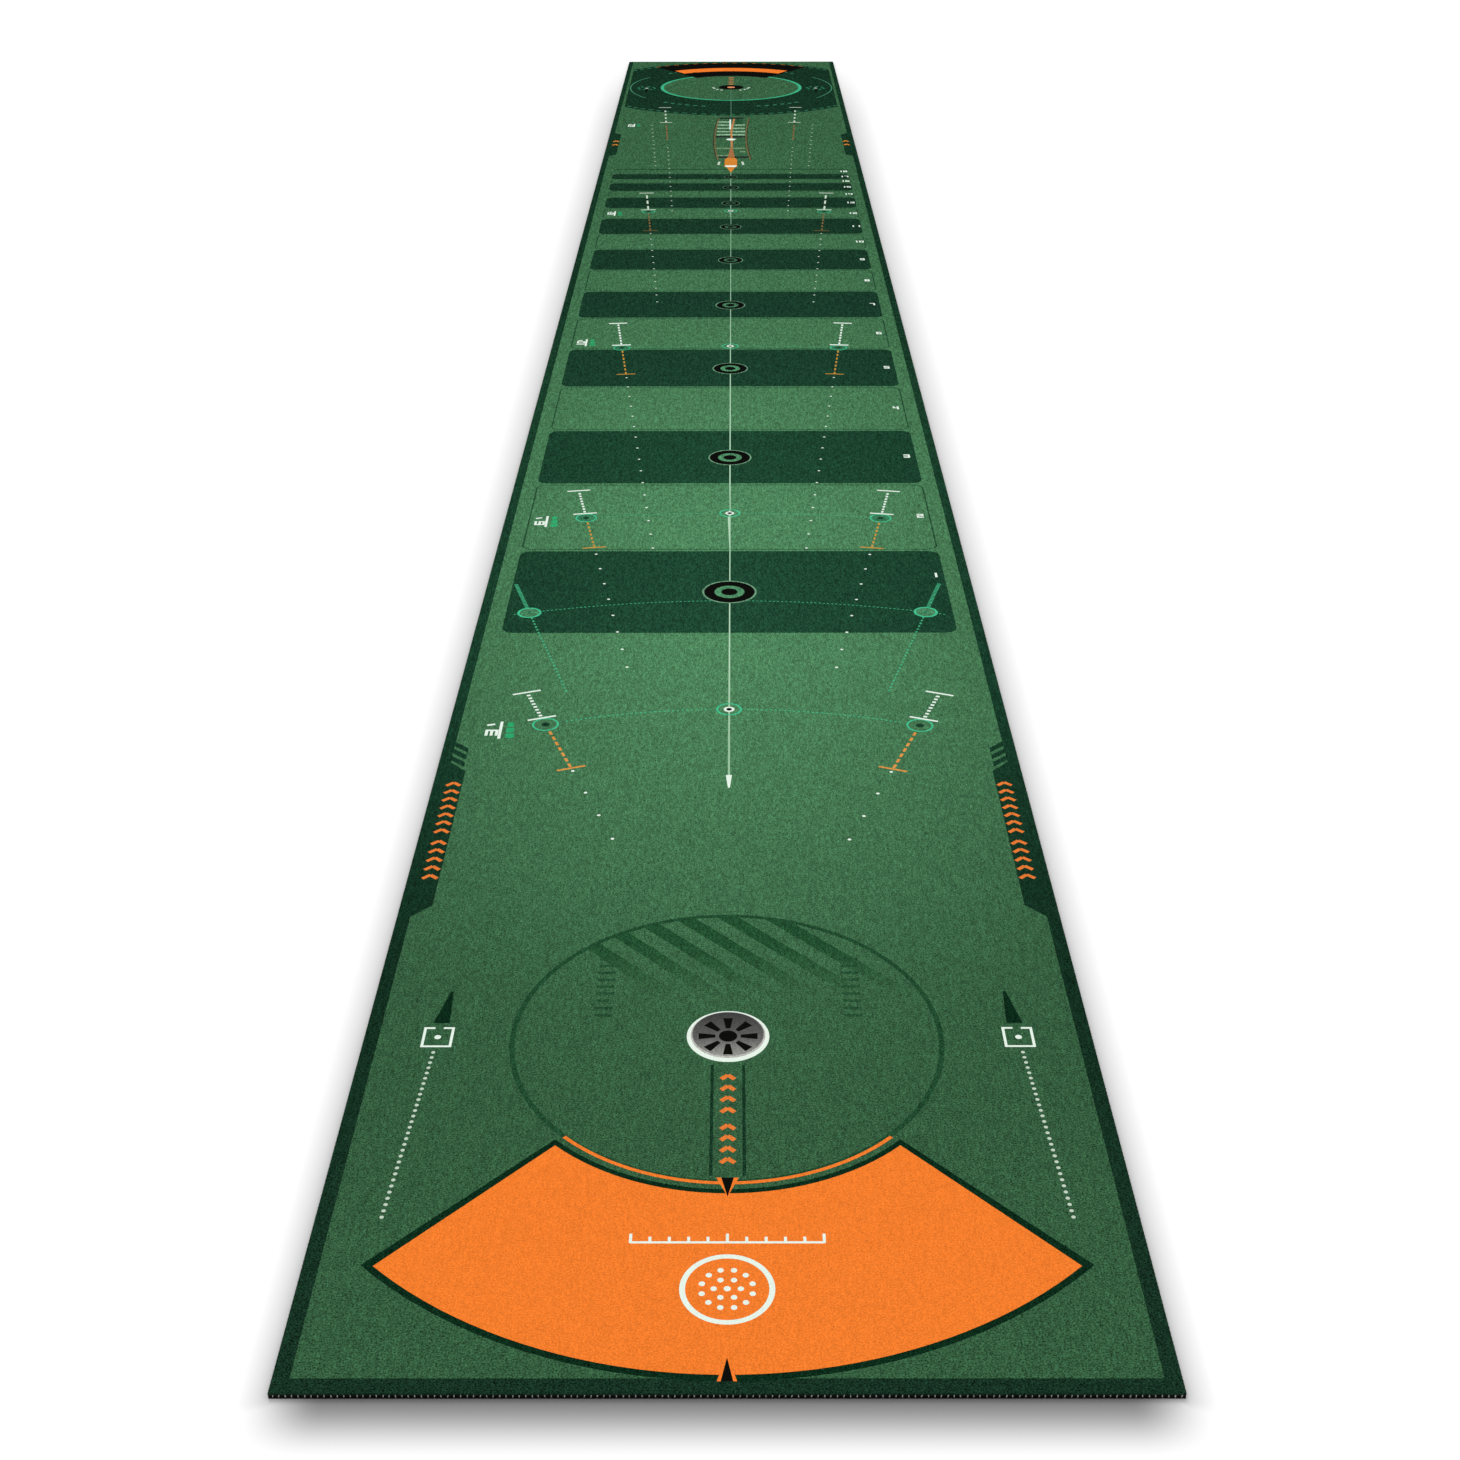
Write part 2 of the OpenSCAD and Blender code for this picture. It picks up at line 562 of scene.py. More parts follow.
def draw_far_zone():
    """The dark disc round the far hole, with its rings, its fan and the hole."""
    centre = FAR_HOLE
    clipped_disc("band", centre, 628, 445)
    for middle in (0, 180):
        arc_dashes("deep_teal", centre, 606, middle - 47, middle + 47, 40, 20, 16)
        for side in (-1, 1):
            arc_dashes("teal", centre, 441, middle + 14 * side, middle + 42 * side, 36, 18, 14)
    for middle in (90, 270):
        band("ring_line", centre, 437, 442, middle - 34, middle + 34)
    disc("mint", centre, 308)
    disc("field", centre, 294)
    for side in (-1, 1):
        bar("band_line", point_on(centre, 62, side * 33), point_on(centre, 290, side * 33), 3)
        for turn in (94, 112, 130, 148):
            bar("white", point_on(centre, 72, side * turn), point_on(centre, 84, side * turn), 9)
        draw_small_target((side * 368, 7327))
    draw_far_fan(centre)
    for tip in range(7430, 7620, 52):
        chevron("light_rail", (0, tip), 16, 16, 14, 1)
    disc("black", centre, 54)
    disc("light_orange", centre, 17)


def draw_small_target(centre):
    """A small broken ring with a light dot, and a dark pointer before it."""
    arc_dashes("mint_line", centre, 36, 0, 360, 28.3, 14, 9)
    disc("pale", centre, 8)
    bar("black", (centre[0], centre[1] - 34), (centre[0], centre[1] - 88), 14, 6)


def draw_far_fan(centre):
    """The black fan beyond the far hole, with an orange rim, and an orange band with two nicks."""
    half = 34
    band("black", centre, 276, 612, -half, half)
    arc_dashes("dull_orange", centre, 613, -half, half, 46, 22, 5)
    band("orange", centre, 399, 483, -32, 32)
    for x in (-140, 128):
        box("black", (x - 34, 7690), (x + 34, 7716))


def draw_layout():
    """Everything on the pile, in painting order."""
    draw_ground()
    draw_tab_arrows()
    draw_near_circle()
    draw_near_fan()
    draw_ball_emblem()
    draw_centre_arrows()
    draw_aim_boxes()
    draw_bands()
    draw_far_zone()
    draw_centre_line()
    draw_near_hole()
    draw_band_marks()
    draw_mint_marks()
    draw_far_dots()
    for distance in DISTANCES:
        draw_distance(*distance)
    draw_gauge()
    draw_gauge_arrow()


# ------------ materials

def linear(colour):
    """An sRGB colour, 0 to 255, as Blender's linear one."""
    parts = [c / 255 for c in colour]
    return [c / 12.92 if c <= 0.04045 else ((c + 0.055) / 1.055) ** 2.4 for c in parts]


# Painted light along the mat: how bright the greens are painted at each place, as (Y, brightness). They
# are lightest over the first bands and darker towards both ends, as under a pool of light over the middle.
PAINTED_LIGHT_ALONG = [
    (0, 0.575), (450, 0.59), (700, 0.67), (950, 0.85), (1250, 1.03), (1700, 1.24), (2400, 1.26),
    (3090, 1.09), (3700, 0.97), (4240, 0.895), (4700, 0.86), (5400, 0.745), (6400, 0.665),
]
# Painted shade: how much darker the greens are at the mat's sides than along its middle: (Y, share)
SIDE_SHADE = [(300, 0), (900, 0.16), (1700, 0.21), (2400, 0.155), (3400, 0.075), (5800, 0.045), (6400, 0)]
LIGHT = 1.17   # how much brighter than its own colour the studio shows a surface that lies flat


def faded(colour, share=1.0):
    """A colour that takes the painted light along the mat, or only a share of it."""
    return [(y, [c * (1 - share * (1 - f)) for c in linear(colour)]) for y, f in PAINTED_LIGHT_ALONG]


def stops(*pairs):
    """A dye's colours at places along the mat: (Y, sRGB colour) pairs."""
    return [(y, linear(colour)) for y, colour in pairs]


def plain(*colour):
    """One sRGB colour all along the mat."""
    return stops((0, colour))


# Every dye: the record's slot that it is, and its colour along the mat.
DYES = {
    "field": ("pile_green", faded((71, 121, 83))),
    "border": ("pile_dark_green", stops(
        (0, (24, 51, 36)), (700, (22, 51, 35)), (1700, (31, 72, 51)), (3000, (29, 67, 46)),
        (4200, (23, 55, 38)))),
    "shade": ("pile_green", plain(35, 76, 48)),
    "stripe": ("pile_green", stops((680, (59, 101, 68)), (800, (36, 80, 49)))),
    "ghost": ("pile_green", plain(40, 80, 52)),
    "shade_far": ("pile_green", plain(40, 84, 54)),
    "outline": ("pile_dark_green", plain(14, 44, 27)),
    "line": ("pile_dark_green", plain(24, 56, 37)),
    "dark_line": ("pile_black", plain(36, 40, 42)),
    "band": ("pile_dark_green", stops(
        (1900, (32, 73, 52)), (2750, (30, 70, 49)), (3400, (28, 64, 46)), (4000, (27, 61, 44)),
        (4900, (26, 57, 40)), (8000, (22, 51, 35)))),
    "band_line": ("pile_dark_green", faded((40, 80, 54), 0.5)),
    "rim": ("pile_green", faded((105, 150, 118), 0.6)),
    "target": ("pile_green", stops((3400, (80, 140, 100)), (4400, (58, 102, 76)), (5600, (42, 78, 58)))),
    "ring_fill": ("pile_green", faded((56, 118, 84), 0.8)),
    "rung": ("pile_green", plain(142, 180, 146)),
    "faint_rung": ("pile_green", plain(118, 150, 112)),
    "dim_pale": ("pile_white", plain(190, 214, 192)),
    "mint": ("pile_mint", faded((66, 186, 138), 0.3)),
    "mint_line": ("pile_mint", faded((64, 165, 120), 0.8)),
    "label_mint": ("pile_mint", faded((44, 160, 104), 0.6)),
    "ring_line": ("pile_mint", plain(70, 136, 106)),
    "teal": ("pile_mint", plain(60, 128, 98)),
    "deep_teal": ("pile_mint", plain(46, 106, 80)),
    "pale": ("pile_white", faded((212, 230, 210), 0.4)),
    "centre_line": ("pile_white", stops(
        (1400, (158, 197, 162)), (1700, (181, 218, 186)), (3100, (179, 218, 187)), (4250, (153, 194, 163)),
        (4800, (145, 190, 155)), (5200, (127, 163, 138)), (5750, (127, 163, 138)), (6600, (80, 122, 98)))),
    "white": ("pile_white", plain(232, 246, 234)),
    "orange": ("pile_orange", plain(244, 126, 46)),
    "soft_orange": ("pile_orange", plain(232, 124, 54)),
    "apricot": ("pile_orange", plain(222, 150, 70)),
    "amber": ("pile_orange", plain(208, 150, 62)),
    "dull_orange": ("pile_orange", plain(214, 134, 52)),
    "light_orange": ("pile_orange", plain(232, 150, 104)),
    "light_rail": ("pile_orange", plain(196, 130, 78)),
    "rail": ("pile_orange", plain(130, 100, 62)),
    "stem": ("pile_orange", plain(164, 112, 70)),
    "dark_rail": ("pile_orange", plain(64, 50, 44)),
    "cup": ("pile_grey", stops((560, (150, 150, 146)), (592, (100, 100, 98)), (648, (58, 58, 58)))),
    "cup_lip": ("pile_grey", plain(186, 184, 178)),
    "black": ("pile_black", plain(15, 15, 14)),
}


def add(tree, kind, settings=None, **inputs):
    """Adds a shader node. An input given as another node's output is linked to it."""
    node = tree.nodes.new("ShaderNode" + kind)
    for name, value in (settings or {}).items():
        setattr(node, name, value)
    for name, value in inputs.items():
        socket = node.inputs[name.replace("_", " ")]
        if isinstance(value, bpy.types.NodeSocket):
            tree.links.new(value, socket)
        else:
            socket.default_value = value
    return node


def math_node(tree, operation, a, b=None):
    """The result of a sum on one or two values, each a number or another node's output."""
    node = add(tree, "Math", {"operation": operation})
    for socket, value in zip(node.inputs, (a, b)):
        if isinstance(value, bpy.types.NodeSocket):
            tree.links.new(value, socket)
        elif value is not None:
            socket.default_value = value
    return node.outputs[0]


def map_range(tree, value, low, high, to_low, to_high, kind="SMOOTHSTEP"):
    """A value that goes from to_low to to_high as another goes from low to high."""
    return add(tree, "MapRange", {"interpolation_type": kind}, Value=value, From_Min=low, From_Max=high,
               To_Min=to_low, To_Max=to_high).outputs["Result"]


def colour_ramp(tree, factor, pairs, interpolation="LINEAR"):
    """A colour ramp through (place, linear colour) pairs."""
    node = add(tree, "ValToRGB", Fac=factor)
    ramp = node.color_ramp
    ramp.interpolation = interpolation
    while len(ramp.elements) < len(pairs):
        ramp.elements.new(1.0)
    while len(ramp.elements) > len(pairs):
        ramp.elements.remove(ramp.elements[-1])
    for element, (place, colour) in zip(ramp.elements, pairs):
        element.position = place
        element.color = (*colour, 1)
    return node.outputs["Color"]


def multiply(tree, a, b):
    """Two colours multiplied."""
    node = tree.nodes.new("ShaderNodeMix")
    node.data_type, node.blend_type = "RGBA", "MULTIPLY"
    node.inputs["Factor"].default_value = 1
    tree.links.new(a, node.inputs[6])
    tree.links.new(b, node.inputs[7])
    return node.outputs[2]


def grey_noise(tree, where, scale, low, high, detail=2.0):
    """Noise as a grey that multiplies a colour, between low and high. Also returns the raw noise."""
    noise = add(tree, "TexNoise", Vector=where, Scale=scale, Detail=detail, Roughness=0.6)
    raw = noise.outputs["Fac"]
    return map_range(tree, raw, 0.3, 0.7, low, high, "LINEAR"), raw


def mottled(tree, where, colour, scale, low, high):
    """One linear colour, made darker and lighter by noise. Also returns the raw noise."""
    tone, raw = grey_noise(tree, where, scale, low, high)
    return multiply(tree, colour_ramp(tree, tone, [(0, colour)]), tone), raw


def new_material(name, roughness, specular, sheen=0.0):
    """A material with one Principled shader. Also returns the textures' place."""
    material = bpy.data.materials.new(name)
    material.use_nodes = True
    tree = material.node_tree
    shader = tree.nodes["Principled BSDF"]
    shader.inputs["Roughness"].default_value = roughness
    shader.inputs["Specular IOR Level"].default_value = specular
    shader.inputs["Sheen Weight"].default_value = sheen
    return material, tree, shader, add(tree, "TexCoord").outputs["Object"]


def finish_surface(tree, shader, colour, height, strength, distance):
    """Links a colour and a bump to the shader."""
    bump = add(tree, "Bump", Strength=strength, Distance=distance, Height=height)
    tree.links.new(colour, shader.inputs["Base Color"])
    tree.links.new(bump.outputs["Normal"], shader.inputs["Normal"])


# How strongly a dye shows the tufts: the greens most, the bright dyes least
SPECKS = {"pile_green": 0.75, "pile_dark_green": 0.9, "pile_orange": 0.24, "pile_white": 0.08}
OTHER_SPECKS = 0.3
TUFTS = 520   # how many fit in a metre
# Layers of the pile's grain: how fine it is, its length along the mat, and its strength near and far
GRAIN = [(TUFTS, 1, 1, 1), (300, 3, 0.25, 0.85), (150, 5, 0.05, 0.34)]
GRAIN_FAR_Y = 3.0     # the frame's Y, in metres, from which the grain has its far strength
SHADE_REACH = 0.405   # metres from the middle line to where SIDE_SHADE's share is reached
SHADE_POWER = 1.7     # how late the shade sets in on the way there


def side_shade(tree, where, share):
    """A grey of painted shade: 1 along the mat's middle line, falling off towards its sides."""
    depth = colour_ramp(tree, share, [(y / LENGTH, (part, part, part)) for y, part in SIDE_SHADE])
    across = math_node(tree, "ABSOLUTE", add(tree, "SeparateXYZ", Vector=where).outputs["X"])
    fall = math_node(tree, "POWER", math_node(tree, "DIVIDE", across, SHADE_REACH), SHADE_POWER)
    return math_node(tree, "SUBTRACT", 1, math_node(tree, "MULTIPLY", depth, fall))


def pile_material(dye, slot, pairs):
    """Short sheared pile: tuft specks, broader blotches and a tufted bump."""
    material, tree, shader, where = new_material("pile_" + dye, 1.0, 0.0)
    along = add(tree, "SeparateXYZ", Vector=where).outputs["Y"]
    share = map_range(tree, along, PILE_LOW.y, PILE_HIGH.y, 0, 1, "LINEAR")
    # The dye's colours along the mat, with the painted light for the dyes that take it.
    colour = colour_ramp(tree, share, [(y / LENGTH, [c / LIGHT for c in tint]) for y, tint in pairs])
    if slot in ("pile_green", "pile_dark_green"):
        # The greens get painted shade towards the mat's sides.
        colour = multiply(tree, colour, side_shade(tree, where, share))
    depth = SPECKS.get(slot, OTHER_SPECKS)
    for fine, length, near, far in GRAIN:
        combed = add(tree, "Mapping", Vector=where, Scale=(1, 1 / length, 1)).outputs["Vector"]
        low, high = (
            map_range(tree, along, PILE_LOW.y, GRAIN_FAR_Y, 1 + near * swing, 1 + far * swing, "LINEAR")
            for swing in (-depth, depth))
        specks, _ = grey_noise(tree, combed, fine, low, high, 1.5)
        colour = multiply(tree, colour, specks)
    grain = add(tree, "TexNoise", Vector=where, Scale=TUFTS).outputs["Fac"]
    tufts = add(tree, "TexVoronoi", Vector=where, Scale=TUFTS)
    height = math_node(tree, "SUBTRACT", grain, tufts.outputs["Distance"])
    finish_surface(tree, shader, colour, height, 0.5, 0.0006)
    return material


def rubber_material():
    """Foamed rubber with a fine waffle and closed pores."""
    material, tree, shader, where = new_material("rubber_foam", 0.9, 0.06)
    colour, grain = mottled(tree, where, (0.003, 0.003, 0.0032), 260, 0.7, 1.3)
    waffle = add(tree, "TexWave", {"bands_direction": "Y"}, Vector=where, Scale=16.0, Distortion=0.4)
    height = math_node(tree, "ADD", grain, waffle.outputs["Fac"])
    finish_surface(tree, shader, colour, height, 0.5, 0.0005)
    return material


def latex_material():
    """Dried latex, matt and slightly lumpy."""
    material, tree, shader, where = new_material("latex", 0.8, 0.1)
    colour, grain = mottled(tree, where, (0.006, 0.006, 0.0055), 420, 0.75, 1.25)
    finish_surface(tree, shader, colour, grain, 0.4, 0.0003)
    return material


def cloth_material():
    """A plain weave: warp and weft waves that cross."""
    material, tree, shader, where = new_material("woven_cloth", 0.95, 0.05)
    colour, _ = mottled(tree, where, (0.006, 0.009, 0.008), 300, 0.8, 1.2)
    warp, weft = (
        add(tree, "TexWave", {"bands_direction": axis}, Vector=where, Scale=160.0).outputs["Fac"]
        for axis in "XY")
    finish_surface(tree, shader, colour, math_node(tree, "MAXIMUM", warp, weft), 0.7, 0.0003)
    return material


def thread_material():
    """Twisted polyester thread, light grey, soiled here and there."""
    material, tree, shader, where = new_material("twisted_thread", 0.6, 0.4, 0.15)
    colour, _ = mottled(tree, where, linear((150, 153, 148)), 90, 0.7, 1.2)
    fibre = add(tree, "TexWave", {"bands_direction": "DIAGONAL"}, Vector=where, Scale=900.0)
    finish_surface(tree, shader, colour, fibre.outputs["Fac"], 0.4, 0.0001)
    return material


# ------------ the pile

CUT_ERROR = 1e-4   # points closer than this, in millimetres, become one
CAD_PILE_HALF = (PILE_HIGH.x, PILE_HIGH.y)


def inside(outline, xs, ys):
    """Which of the places lie inside an outline."""
    found = np.zeros(len(xs), bool)
    for (x0, y0), (x1, y1) in zip(outline, outline[1:] + outline[:1]):
        if y0 != y1:
            crossed = (ys < y0) != (ys < y1)
            found ^= crossed & (xs < x0 + (ys - y0) * (x1 - x0) / (y1 - y0))
    return found


def cut_layout():
    """Cuts the plane into triangles along every outline, and gives each the last dye painted on it."""
    points, edges = [], []
    for _, outline in SHAPES:
        first, count = len(points), len(outline)
        edges += [(first + i, first + (i + 1) % count) for i in range(count)]
        points += [Vector(p) for p in outline]
    cut = delaunay_2d_cdt(points, edges, [], 0, CUT_ERROR, False)
    points, triangles = cut[0], [tuple(t) for t in cut[2]]
    corners = np.array([p[:] for p in points])[np.array(triangles)]
    middles = corners.mean(axis=1)
    order = np.argsort(middles[:, 1])
    xs, ys = middles[order, 0], middles[order, 1]
    owners = np.zeros(len(order), int)
    for number, (_, outline) in enumerate(SHAPES):
        heights = [y for _, y in outline]
        a, b = np.searchsorted(ys, (min(heights), max(heights)))
        owners[a:b][inside(outline, xs[a:b], ys[a:b])] = number
    found = {}
    for place, owner in zip(order, owners):
        found.setdefault(SHAPES[owner][0], []).append(counter_clockwise(triangles[place], points))
    return points, found


def counter_clockwise(triangle, points):
    """The triangle's corners in the order that faces it upwards."""
    a, b, c = (points[i] for i in triangle)
    return triangle if (b - a).cross(c - a) > 0 else triangle[::-1]


def on_pile(point):
    """A layout point's X and Y in metres."""
    size = PILE_HIGH - PILE_LOW
    return point[0] / (2 * HALF_W) * size.x, PILE_LOW.y + point[1] / LENGTH * size.y


def pile_top(point):
    """The height of the pile at a layout point: it falls off round the mat's edge."""
    inward = min(HALF_W - abs(point[0]), point[1], LENGTH - point[1])
    return PILE_HIGH.z - EDGE_DROP * MM * max(0, 1 - inward / EDGE_ROUND) ** 2


def mesh_object(name, points, faces, material):
    """A new object with one material, linked to the scene."""
    mesh = bpy.data.meshes.new(name)
    mesh.from_pydata(points, [], faces)
    mesh.materials.append(material)
    mesh.validate()
    piece = bpy.data.objects.new(name, mesh)
    bpy.context.scene.collection.objects.link(piece)
    return piece


def build_inlay(dye, points, triangles, material):
    """All the pile of one dye, as closed slabs from the backing cloth up to the pile's top."""
    used = sorted({i for triangle in triangles for i in triangle})
    order = {i: n for n, i in enumerate(used)}
    count = len(used)
    places = [(*on_pile(points[i]), pile_top(points[i])) for i in used]
    places += [(x, y, PILE_LOW.z) for x, y, _ in places]
    faces = [[order[i] for i in t] for t in triangles]
    faces += [[i + count for i in reversed(t)] for t in faces]
    edges = {edge for t in triangles for edge in zip(t, t[1:] + t[:1])}
    for a, b in edges:
        if (b, a) not in edges:
            faces.append([order[b], order[a], order[a] + count, order[b] + count])
    return mesh_object("pile_" + dye, places, faces, material)


def build_pile():
    """One inlaid piece of pile for each dye."""
    draw_layout()
    points, found = cut_layout()
    pieces = []
    for dye in sorted(found):
        slot, pairs = DYES[dye]
        piece = build_inlay(dye, points, found[dye], pile_material(dye, slot, pairs))
        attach(piece, "root")
        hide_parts("printed_pile")
        pieces.append(piece)
    return pieces


def round_edge(step):
    """Places all round the mat's cut edge, about a step apart: (point, outward direction)."""
    wide, long = CAD_PILE_HALF
    for side in (-1, 1):
        for i in range(int(2 * long / step)):
            yield Vector((side * wide, -long + (i + 0.5) * step, 0)), Vector((side, 0, 0))
        for i in range(int(2 * wide / step)):
            yield Vector((-wide + (i + 0.5) * step, side * long, 0)), Vector((0, side, 0))


def build_edge_fibres():
    """Loose pile fibres that lean out over the cut edge, each a thin three-sided spike."""
    draws = random.Random(11)
    points, faces = [], []
    for place, outward in round_edge(1.3 * MM):
        along = Vector((-outward.y, outward.x, 0))
        foot = place - outward * 0.3 * MM + along * draws.uniform(-0.6, 0.6) * MM
        foot.z = draws.uniform(PILE_LOW.z + 0.2 * MM, PILE_HIGH.z - 0.9 * MM)
        tip = foot + outward * draws.uniform(0.6, 1.4) * MM + along * draws.uniform(-0.5, 0.5) * MM
        tip.z = min(PILE_HIGH.z, foot.z + draws.uniform(0.2, 1.0) * MM)
        first, thick = len(points), draws.uniform(0.12, 0.22) * MM
        points += [foot + along * thick, foot - along * thick, foot + Vector((0, 0, thick * 1.6)), tip]
        faces += [[first + i for i in face] for face in ((0, 1, 2), (0, 3, 1), (1, 3, 2), (2, 3, 0))]
    fibres = mesh_object("edge_fibres", points, faces, bpy.data.materials["pile_border"])
    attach(fibres, "root")
    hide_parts("printed_pile")
    return fibres


# ------------ the layers under the pile

def tube_faces(first, rings, sides):
    """The faces of a closed tube made of rings of points, from the point numbered first."""
    last = first + (rings - 1) * sides
    faces = [[first + i for i in range(sides)], [last + i for i in reversed(range(sides))]]
    for low in range(first, last, sides):
        for i in range(sides):
            j = (i + 1) % sides
            faces.append([low + i, low + sides + i, low + sides + j, low + j])
    return faces


def extrude_profile(name, profile, stations, material):
    """A closed bar: an outline in X and Z, repeated along Y at (y, inset) stations, with flat ends."""
    middle = sum(z for _, z in profile) / len(profile)
    points = []
    for y, inset in stations:
        for x, z in profile:
            lift = inset if z < middle else -inset
            points.append((x - math.copysign(inset, x), y, z + lift))
    return mesh_object(name, points, tube_faces(0, len(stations), len(profile)), material)


def build_rubber():
    """The rubber backing: its cut edges are slightly rounded and its underside has shallow ribs."""
    low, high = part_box("rubber_backing")
    pitch, depth, edge = 10 * MM, 0.4 * MM, 0.5 * MM
    half = high.x
    count = int((2 * half - 4 * MM) / pitch)
    first = -count * pitch / 2
    shoulder = high.z - 0.15 * MM
    profile = [(-half, shoulder), (-half, low.z + edge), (-half + edge, low.z)]
    for i in range(count):
        # one groove from 3 to 7 mm along its pitch, with sloping sides
        x = first + i * pitch
        profile += [(x + 3 * MM, low.z), (x + 3.6 * MM, low.z + depth)]
        profile += [(x + 6.4 * MM, low.z + depth), (x + 7 * MM, low.z)]
    profile += [(half - edge, low.z), (half, low.z + edge), (half, shoulder)]
    profile += [(half - 0.2 * MM, high.z), (-half + 0.2 * MM, high.z)]
    stations = [(low.y, 0.25 * MM), (low.y + edge, 0), (high.y - edge, 0), (high.y, 0.25 * MM)]
    piece = extrude_profile("rubber_backing_foam", profile, stations, rubber_material())
    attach(piece, "root")
    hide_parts("rubber_backing")
    return piece


def wavy_slab(name, node, wander, seed, material):
    """A thin layer cut by hand: its two long edges wander a little inside the mat's own edge."""
    low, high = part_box(node)
    draws = random.Random(seed)
    count = 320
    points = []
    for i in range(count + 1):
        y = low.y + (high.y - low.y) * i / count
        left, right = low.x + draws.uniform(0, wander), high.x - draws.uniform(0, wander)
        points += [(left, y, low.z), (right, y, low.z), (right, y, high.z), (left, y, high.z)]
    piece = mesh_object(name, points, tube_faces(0, count + 1, 4), material)
    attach(piece, "root")
    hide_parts(node)
    return piece


def build_latex():
    """The latex coat between the rubber and the cloth."""
    piece = wavy_slab("latex_layer", "latex_coat", 0.5 * MM, 5, latex_material())
    return piece


def build_cloth(pieces_on_it):
    """The woven backing cloth that the pile stands on: the mat's one sheet of cloth."""
    piece = wavy_slab("backing_cloth_weave", "backing_cloth", 0.3 * MM, 6, cloth_material())
    return piece


# ------------ the edge stitches

STITCH_PITCH = 6.7 * MM
STRAND = 0.42 * MM        # radius of one strand of the thread
TWIST = 0.36 * MM         # how far each strand lies from the thread's middle
STRAND_SIDES, STRAND_STEPS = 5, 3


def add_strand(points, faces, place, outward, low, high, start, lean):
    """One strand of a stitch, wound half a turn round the thread's middle line."""
    along = Vector((-outward.y, outward.x, 0))
    first = len(points)
    for k in range(STRAND_STEPS + 1):
        share = k / STRAND_STEPS
        turn = start + math.pi * share
        middle = place + outward * math.cos(turn) * TWIST + along * (math.sin(turn) * TWIST + lean * share)
        middle.z = low + (high - low) * share
        size = STRAND * (0.8 if k in (0, STRAND_STEPS) else 1)
        for i in range(STRAND_SIDES):
            angle = 2 * math.pi * i / STRAND_SIDES
            points.append(middle + (outward * math.cos(angle) + along * math.sin(angle)) * size)
    # Its rings go the other way round, so each face is turned over.
    faces += [face[:1] + face[:0:-1] for face in tube_faces(first, STRAND_STEPS + 1, STRAND_SIDES)]


def build_stitches(node, outward, seed, material):
    """A row of short upright stitches along one edge, each of two strands twisted together."""
    low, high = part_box(node)
    draws = random.Random(seed)
    middle = (low + high) / 2
    along = Vector((abs(outward.y), abs(outward.x), 0))
    reach = (high - low).dot(along) / 2 - 1.5 * MM
    edge = Vector((outward.x * CAD_PILE_HALF[0], outward.y * CAD_PILE_HALF[1], 0))
    centre = edge + outward * (CAD_HIGH.x - CAD_PILE_HALF[0] - STRAND - TWIST)
    count = int(2 * reach / STITCH_PITCH)
    points, faces = [], []
    for i in range(count + 1):
        slip = draws.uniform(-0.35, 0.35) * MM
        place = centre + along * ((i - count / 2) * STITCH_PITCH + slip)
        lean = draws.uniform(-0.3, 0.7) * MM
        start = draws.uniform(0, math.pi)
        foot = low.z + draws.uniform(0, 0.3) * MM
        for strand in (0, math.pi):
            add_strand(points, faces, place, outward, foot, high.z, start + strand, lean)
    piece = mesh_object(node.replace("thread", "stitches"), points, faces, material)
    for polygon in piece.data.polygons:
        polygon.use_smooth = True
    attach(piece, "root")
    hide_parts(node)
    return piece


def build_all_stitches():
    """The four rows of stitches, one for each edge's thread in the CAD."""
    material = thread_material()
    edges = {"near": (0, -1), "far": (0, 1), "left": (-1, 0), "right": (1, 0)}
    return [
        build_stitches(edge + "_edge_thread", Vector((*outward, 0)), seed, material)
        for seed, (edge, outward) in enumerate(edges.items(), 20)
    ]
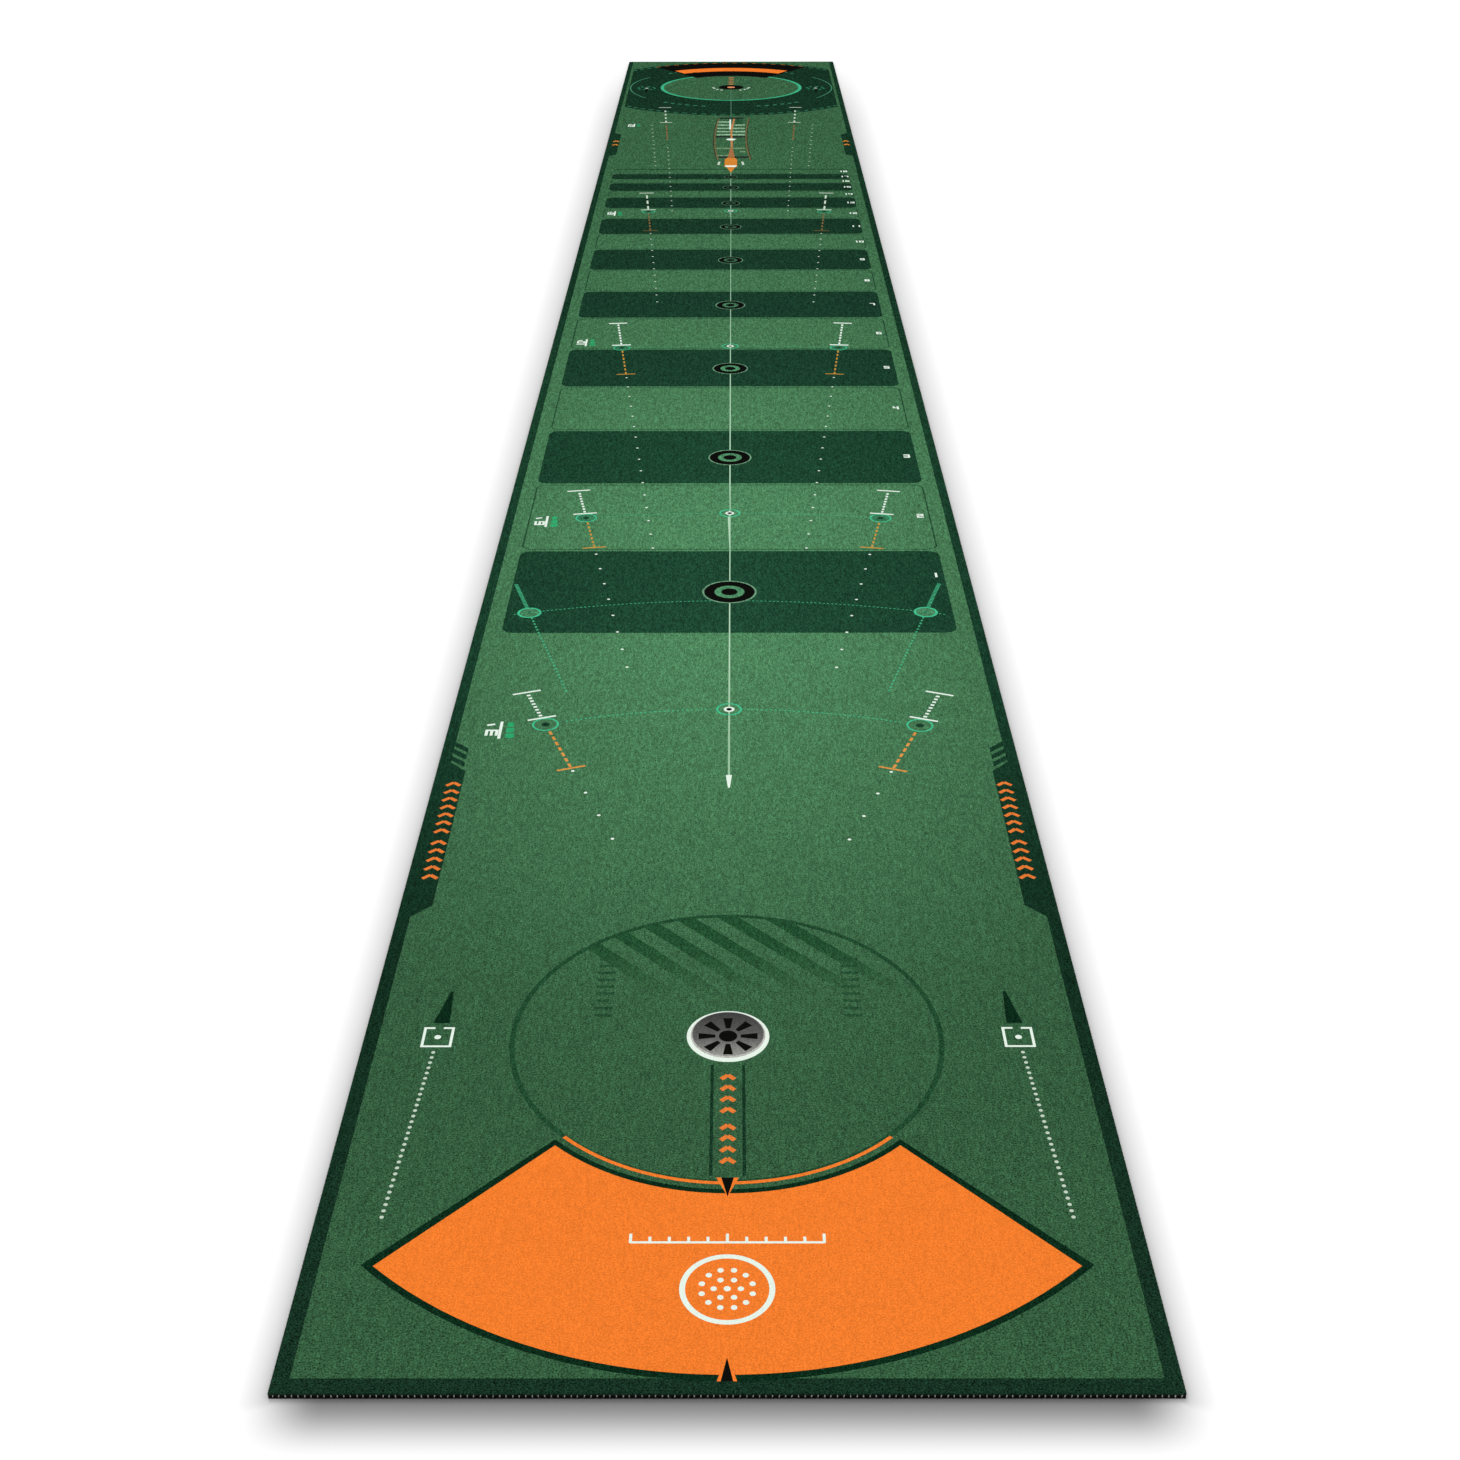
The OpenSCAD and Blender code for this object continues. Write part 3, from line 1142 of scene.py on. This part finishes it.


# ------------ the floor

# The painted shadow on the floor round the mat: its depth and reach before the near edge and along the
# sides.
NEAR_SHADE, NEAR_SHADE_REACH = 0.755, 0.085   # the shade before the near edge, and how far it reaches
SIDE_SHADE_DEPTH = 0.33
SIDE_SHADE_REACH = (0.034, 0.13)              # at the near end and at the far end


def floor_material():
    """White floor, with a soft painted shadow round the mat: deepest before its near edge and lighter
    along its sides.
    """
    material, tree, shader, where = new_material("studio_floor", 0.9, 0.0)
    place = add(tree, "SeparateXYZ", Vector=where)
    across, along = place.outputs["X"], place.outputs["Y"]
    beside = math_node(tree, "SUBTRACT", math_node(tree, "ABSOLUTE", across), CAD_HIGH.x)
    before = math_node(tree, "SUBTRACT", CAD_LOW.y, along)
    beyond = math_node(tree, "SUBTRACT", along, CAD_HIGH.y)
    near = map_range(tree, before, 0, NEAR_SHADE_REACH, NEAR_SHADE, 0)
    # The painted near shadow ends under the mat and past its corners; the painted side shadow, before and
    # beyond it.
    near = math_node(tree, "MULTIPLY", near, map_range(tree, before, -0.02, -0.01, 0, 1))
    near = math_node(tree, "MULTIPLY", near, map_range(tree, beside, -0.06, 0.035, 1, 0))
    width = map_range(tree, along, CAD_LOW.y, CAD_HIGH.y, *SIDE_SHADE_REACH, "LINEAR")
    side = map_range(tree, math_node(tree, "DIVIDE", beside, width), 0, 1, SIDE_SHADE_DEPTH, 0, "LINEAR")
    side = math_node(tree, "MULTIPLY", side, map_range(tree, before, 0, 0.03, 1, 0))
    side = math_node(tree, "MULTIPLY", side, map_range(tree, beyond, -1.5, 0.3, 1, 0))
    shade = math_node(tree, "SUBTRACT", 1, math_node(tree, "MAXIMUM", near, side))
    # The white floor, darkened where the painted shadow falls.
    white = colour_ramp(tree, shade, [(0, (0, 0, 0)), (1, (0.9, 0.9, 0.9))])
    tree.links.new(white, shader.inputs["Base Color"])
    return material


def make_floor():
    """A floor large enough to look endless."""
    reach = 150
    points = [(x, y, 0) for x, y in ((-reach, -reach), (reach, -reach), (reach, reach), (-reach, reach))]
    floor = mesh_object("studio_floor", points, [[0, 1, 2, 3]], floor_material())


# ------------ everything together

def main():
    """Builds everything."""
    bpy.context.scene.view_settings.view_transform = "Standard"
    make_camera()
    make_lights()
    make_floor()
    build_rubber()
    latex = build_latex()
    pile = build_pile()
    pile.append(build_edge_fibres())
    build_cloth(pile + build_all_stitches())


main()
